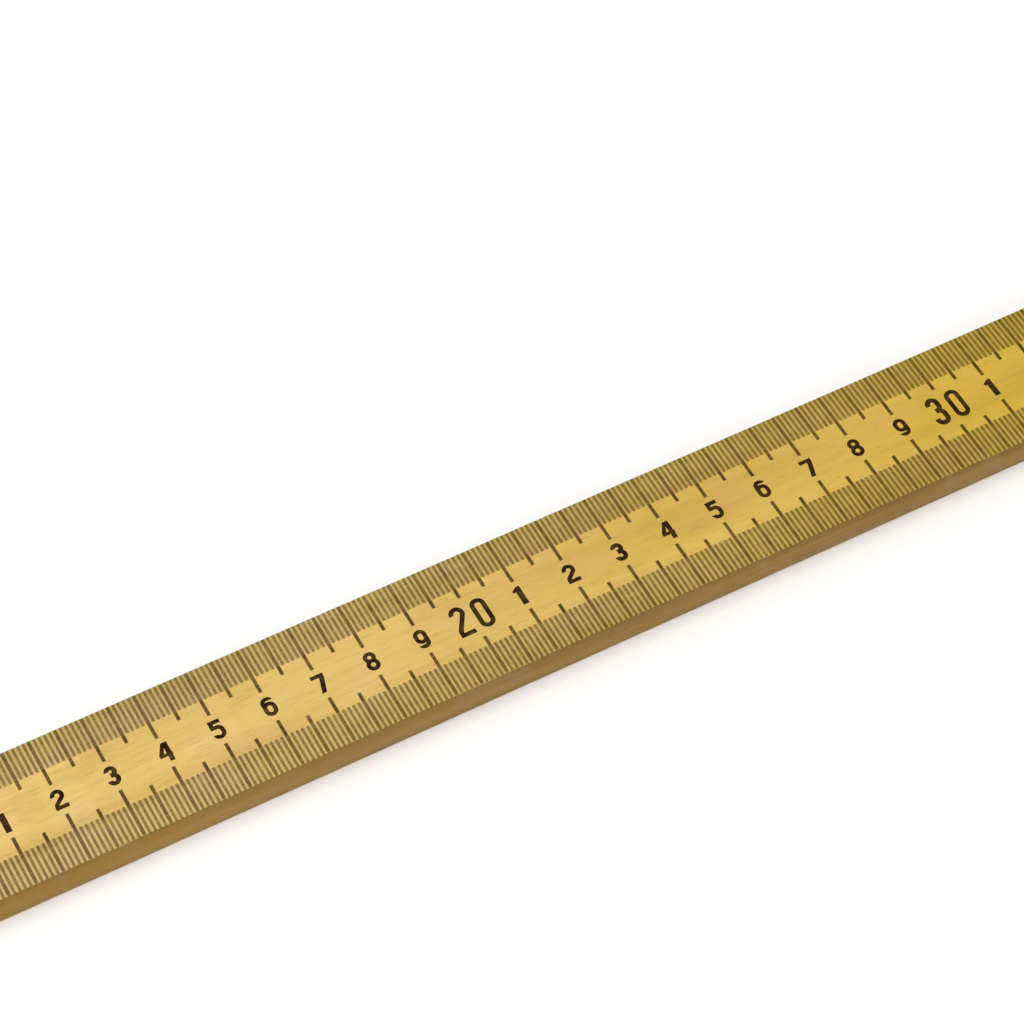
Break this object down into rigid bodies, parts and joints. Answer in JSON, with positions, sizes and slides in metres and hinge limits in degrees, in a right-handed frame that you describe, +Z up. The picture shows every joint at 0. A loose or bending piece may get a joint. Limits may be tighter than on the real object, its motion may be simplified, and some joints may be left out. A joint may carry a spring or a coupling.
{
  "type": "wooden metre stick",
  "caption": "Double-sided hardwood metre stick with metric marks on one face, inch marks on the other, folded metal end tips and a hang hole.",
  "frame": {"origin": "centre of the resting plane, half way along the stick and across its width", "axes": "+X along the stick from the zero end of both scales to the far end, +Y across it towards the edge that is farther away when the metric face is read, +Z up out of the metric face"},
  "size_m": [1, 0.027, 0.0068],
  "materials": {
    "hardwood": "light hardwood under satin lacquer",
    "tip_metal": "thin brass sheet, lightly worn",
    "rivet_metal": "brass, filed flush",
    "ink": "brown-black printing ink"
  },
  "bodies": {
    "root": {"hardwood_lath": "hardwood", "zero_end_tip": "tip_metal", "far_end_tip": "tip_metal", "zero_end_rivets": "rivet_metal", "far_end_rivets": "rivet_metal", "millimetre_lines_upper": "ink", "millimetre_lines_lower": "ink", "half_centimetre_lines_upper": "ink", "half_centimetre_lines_lower": "ink", "centimetre_lines_upper": "ink", "centimetre_lines_lower": "ink", "centimetre_numerals": "ink", "decimetre_numerals": "ink", "inch_lines": "ink", "half_inch_lines": "ink", "quarter_inch_lines": "ink", "eighth_inch_lines": "ink", "inch_numerals": "ink"}
  },
  "joints": []
}
